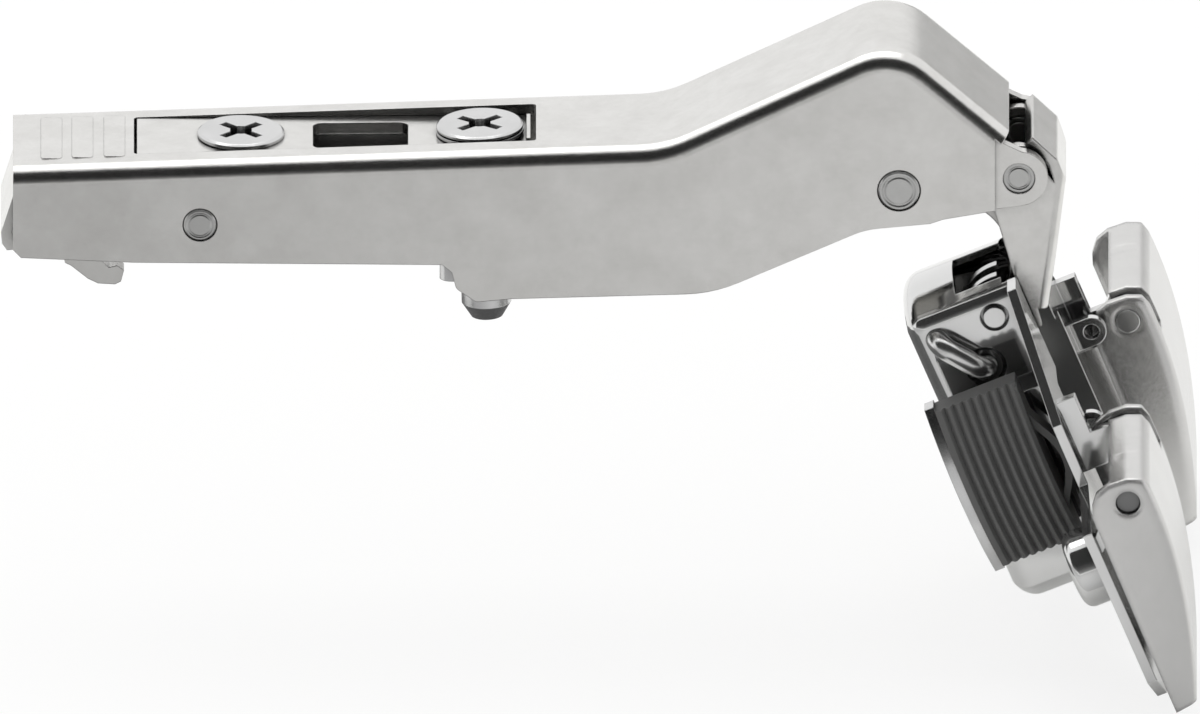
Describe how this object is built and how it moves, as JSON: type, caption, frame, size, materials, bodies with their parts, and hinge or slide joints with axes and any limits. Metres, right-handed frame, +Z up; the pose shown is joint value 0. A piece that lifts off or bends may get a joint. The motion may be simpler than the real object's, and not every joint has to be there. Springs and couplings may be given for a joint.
{
  "type": "angled cabinet hinge",
  "caption": "Clip-on cranked cabinet hinge for an angled door: channel arm with adjusting screws, two links, and a drawn cup with clamping jaws and flip levers",
  "frame": {"origin": "foot of the depth screw's axis on the clip base's seat", "axes": "+X along the arm to the door, +Z up from the seat, Y across; stored with the door fully open"},
  "size_m": [0.1196, 0.072, 0.0613],
  "materials": {
    "satin_nickel": "satin nickel plate with a fine grain",
    "bright_nickel": "polished nickel plate",
    "zinc": "bright zinc plate",
    "dark_plastic": "matt dark grey moulding",
    "spring_steel": "plain spring steel"
  },
  "bodies": {
    "base": {"clip_base": "zinc", "release_pin": "zinc", "release_spring": "spring_steel"},
    "channel": {"adjusting_channel": "satin_nickel", "tilt_pin": "satin_nickel"},
    "cam": {"depth_cam": "zinc"},
    "screw": {"side_screw": "zinc"},
    "arm": {"hinge_arm": "satin_nickel", "side_nut": "zinc", "inner_link_pin": "satin_nickel", "outer_link_pins": "satin_nickel"},
    "outer": {"outer_link": "satin_nickel"},
    "inner": {"inner_link": "satin_nickel"},
    "door_cup": {"cup": "bright_nickel", "axle_wire": "bright_nickel", "spring_pins": "bright_nickel", "closing_spring": "spring_steel", "lever_pin_near": "bright_nickel", "lever_pin_far": "bright_nickel"},
    "near_lever": {"flip_lever_near": "satin_nickel"},
    "far_lever": {"flip_lever_far": "satin_nickel"},
    "near_jaw": {"jaw_near": "dark_plastic", "jaw_strip_near": "zinc"},
    "far_jaw": {"jaw_far": "dark_plastic", "jaw_strip_far": "zinc"},
    "release": {"release_lever": "zinc"}
  },
  "joints": [
    {"name": "depth_slide", "type": "slide", "parent": "base", "child": "channel", "axis": [1, 0, 0], "range_m": [-0.0015, 0.0015]},
    {"name": "cam_turn", "type": "hinge", "parent": "channel", "child": "cam", "pos_m": [0, 0, 0.009], "axis": [0, 0, 1], "range_deg": [-45.2, 45.2]},
    {"name": "side_tilt", "type": "hinge", "parent": "channel", "child": "arm", "pos_m": [-0.0041, 0, 0.00353], "axis": [0, -1, 0], "range_deg": [-1.2, 1.2]},
    {"name": "screw_turn", "type": "hinge", "parent": "channel", "child": "screw", "pos_m": [0.0239, 0, 0.0103], "axis": [-0.0361, 0, 0.9993], "range_deg": [-268, 268]},
    {"name": "door_swing", "type": "hinge", "parent": "arm", "child": "outer", "pos_m": [0.0778, 0, 0.0083], "axis": [0, -1, 0], "range_deg": [0, 37.94]},
    {"name": "inner_swing", "type": "hinge", "parent": "arm", "child": "inner", "pos_m": [0.0658, 0, 0.0072], "axis": [0, -1, 0], "range_deg": [0, 30.75]},
    {"name": "cup_turn", "type": "hinge", "parent": "outer", "child": "door_cup", "pos_m": [0.06967, 0, -0.00922], "axis": [0, -1, 0], "range_deg": [0, 72.15]},
    {"name": "near_lever_flip", "type": "hinge", "parent": "door_cup", "child": "near_lever", "pos_m": [0.08871, -0.025, -0.01573], "axis": [0, -1, 0], "range_deg": [0, 80]},
    {"name": "far_lever_flip", "type": "hinge", "parent": "door_cup", "child": "far_lever", "pos_m": [0.08871, 0.025, -0.01573], "axis": [0, -1, 0], "range_deg": [0, 80]},
    {"name": "near_jaw_slide", "type": "slide", "parent": "door_cup", "child": "near_jaw", "axis": [0, 1, 0], "range_m": [0, 0.00101]},
    {"name": "far_jaw_slide", "type": "slide", "parent": "door_cup", "child": "far_jaw", "axis": [0, -1, 0], "range_m": [0, 0.00101]},
    {"name": "release_press", "type": "hinge", "parent": "base", "child": "release", "pos_m": [-0.0198, 0, 0.006], "axis": [0, -1, 0], "range_deg": [-8, 0], "stiffness_Nm_per_rad": 0.02, "springref_deg": 5.73}
  ],
  "couplings": [
    {"joint": "cam_turn", "follows": "depth_slide", "rad_per_m": 523.6},
    {"joint": "screw_turn", "follows": "side_tilt", "ratio": -223},
    {"joint": "inner_swing", "follows": "door_swing", "ratio": 0.8087},
    {"joint": "cup_turn", "follows": "door_swing", "ratio": 1.8991},
    {"joint": "near_jaw_slide", "follows": "near_lever_flip", "m_per_rad": 0.000716},
    {"joint": "far_jaw_slide", "follows": "far_lever_flip", "m_per_rad": 0.000716}
  ]
}
